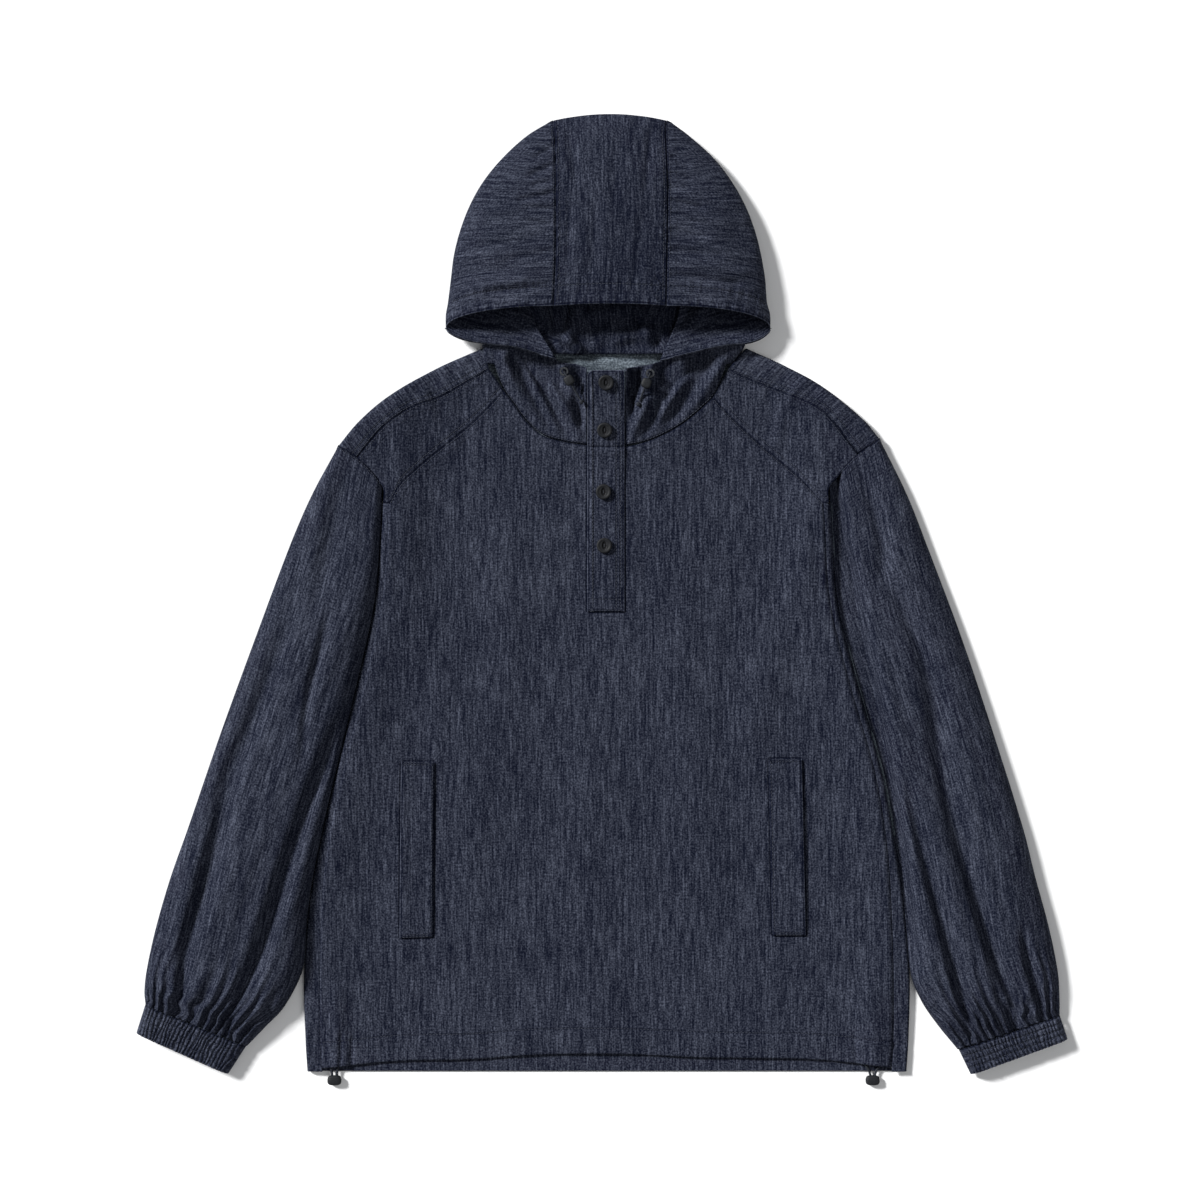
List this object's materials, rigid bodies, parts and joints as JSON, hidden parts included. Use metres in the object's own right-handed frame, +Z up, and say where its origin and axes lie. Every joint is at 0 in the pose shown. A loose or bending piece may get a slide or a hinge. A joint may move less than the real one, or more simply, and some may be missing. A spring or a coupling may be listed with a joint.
{
  "type": "anorak pullover",
  "caption": "Hooded pullover anorak in denim laid flat, with half placket, welt pockets, elastic cuffs and drawcord hem.",
  "frame": {"origin": "centre of the bounding box without the cords, on the surface that the garment lies on", "axes": "+X across the body to the right of the picture, +Y up the body to the hood, +Z up from the surface"},
  "size_m": [0.932, 0.9727, 0.043],
  "materials": {
    "denim": "light slubby denim",
    "button_plastic": "satin dark resin",
    "cord": "braided round cord",
    "lock_plastic": "moulded matt",
    "eyelet_metal": "dull gunmetal"
  },
  "bodies": {
    "root": {"front_body": "denim", "front_yoke_left": "denim", "front_yoke_right": "denim", "back_yoke": "denim", "back_body": "denim", "sleeve_left": "denim", "sleeve_right": "denim", "cuff_left": "denim", "cuff_right": "denim", "hood_side_left": "denim", "hood_side_right": "denim", "hood_crown": "denim", "hood_neck_left": "denim", "hood_neck_right": "denim", "placket": "denim", "button_stand": "denim", "pocket_welt_left": "denim", "pocket_welt_right": "denim", "button_1": "button_plastic", "button_2": "button_plastic", "button_3": "button_plastic", "button_4": "button_plastic", "hem_cord_left": "cord", "hem_cord_right": "cord", "hood_cord_left": "cord", "hood_cord_right": "cord", "hood_cord_knot_left": "cord", "hood_cord_knot_right": "cord", "hem_cord_lock_left": "lock_plastic", "hem_cord_lock_right": "lock_plastic", "hood_cord_lock_left": "lock_plastic", "hood_cord_lock_right": "lock_plastic", "hood_eyelet_left": "eyelet_metal", "hood_eyelet_right": "eyelet_metal"}
  },
  "joints": []
}
